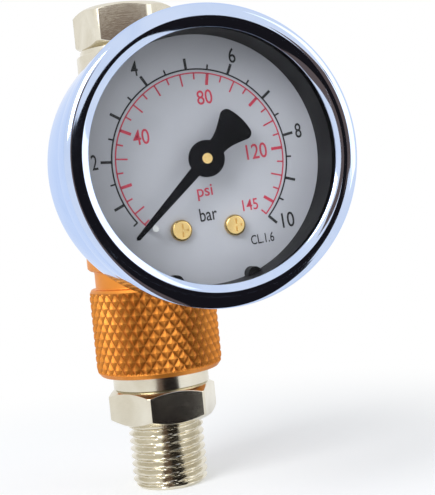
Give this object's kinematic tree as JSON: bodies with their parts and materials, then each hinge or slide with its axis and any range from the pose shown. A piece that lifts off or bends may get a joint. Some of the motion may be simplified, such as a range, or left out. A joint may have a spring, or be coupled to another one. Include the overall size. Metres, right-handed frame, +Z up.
{
  "type": "inline air pressure regulator",
  "caption": "Inline air pressure regulator: male threaded inlet, knurled adjusting sleeve, female threaded outlet and a round dial pressure gauge on its side.",
  "frame": {"origin": "on the flow axis at the shoulder of the lower hexagon, where the male inlet thread ends", "axes": "+Z up the flow axis from inlet to outlet, the gauge faces -Y, +X to the right of someone reading the dial"},
  "size_m": [0.0408, 0.0579, 0.0832],
  "materials": {
    "nickel_plate": "nickel-plated brass, machined and bright",
    "gold_anodised": "gold-orange anodised aluminium, diamond knurled",
    "chrome_plate": "polished chrome plate on steel",
    "brass": "plain machined brass",
    "bronze": "phosphor bronze, as drawn",
    "steel": "turned steel, zinc plated",
    "spring_steel": "oiled spring wire",
    "white_dial": "matt white printed aluminium",
    "black_paint": "matt black painted aluminium",
    "black_plastic": "black moulded plastic, satin",
    "clear_window": "clear acrylic, polished",
    "rubber": "black nitrile rubber",
    "seat_plastic": "plain moulded plastic seat",
    "seal_plastic": "white sealing washer"
  },
  "bodies": {
    "root": {"inlet_fitting": "nickel_plate", "stem_oring": "rubber", "seat_holder": "brass", "seat_disc": "seat_plastic", "regulator_body": "nickel_plate", "sleeve_oring": "rubber", "port_seal": "seal_plastic", "gauge_socket": "brass", "restrictor_screw": "brass", "gauge_case": "chrome_plate", "case_screws": "steel", "bezel_ring": "chrome_plate", "window": "clear_window", "window_gasket": "rubber", "dial_spacer": "black_plastic", "dial_plate": "white_dial", "dial_screws": "brass", "stop_pin": "steel", "bourdon_tube": "bronze", "tube_tip": "brass", "movement_back_plate": "brass", "movement_front_plate": "brass", "movement_pillars": "brass", "movement_screws": "steel", "hairspring": "bronze"},
    "piston": {"piston": "brass", "piston_oring": "rubber"},
    "carrier": {"spring_plate": "steel", "transfer_pins": "steel", "thrust_washer": "steel", "main_spring": "spring_steel"},
    "sleeve": {"adjusting_sleeve": "gold_anodised"},
    "pointer": {"pointer": "black_paint", "pointer_boss": "brass", "pinion_shaft": "brass"},
    "sector": {"sector_gear": "brass", "sector_arbor": "steel"},
    "link": {"link": "brass", "link_pins": "steel"}
  },
  "joints": [
    {"name": "carrier_slide", "type": "slide", "parent": "root", "child": "carrier", "axis": [0, 0, 1], "range_m": [-0.00175, 0.005], "deforming": ["main_spring"]},
    {"name": "sleeve_turn", "type": "hinge", "parent": "carrier", "child": "sleeve", "pos_m": [0, 0, 0.0196], "axis": [0, 0, 1], "range_deg": [-630, 1800]},
    {"name": "piston_slide", "type": "slide", "parent": "root", "child": "piston", "axis": [0, 0, -1], "range_m": [0, 0.0012], "stiffness_N_per_m": 400, "springref_m": -0.0005},
    {"name": "pointer_turn", "type": "hinge", "parent": "root", "child": "pointer", "pos_m": [0, -0.04122, 0.0428], "axis": [0, 1, 0], "range_deg": [0, 270], "stiffness_Nm_per_rad": 0.0001, "springref_deg": -11.46},
    {"name": "sector_swing", "type": "hinge", "parent": "root", "child": "sector", "pos_m": [0, -0.0338, 0.032], "axis": [0, 1, 0], "range_deg": [-33.75, 0]},
    {"name": "link_swing", "type": "hinge", "parent": "sector", "child": "link", "pos_m": [0.001, -0.0346, 0.02802], "axis": [0, 1, 0], "range_deg": [0, 33.75]}
  ],
  "couplings": [
    {"joint": "sleeve_turn", "follows": "carrier_slide", "rad_per_m": 6283.2},
    {"joint": "sector_swing", "follows": "pointer_turn", "ratio": -0.125},
    {"joint": "link_swing", "follows": "pointer_turn", "ratio": 0.125}
  ]
}
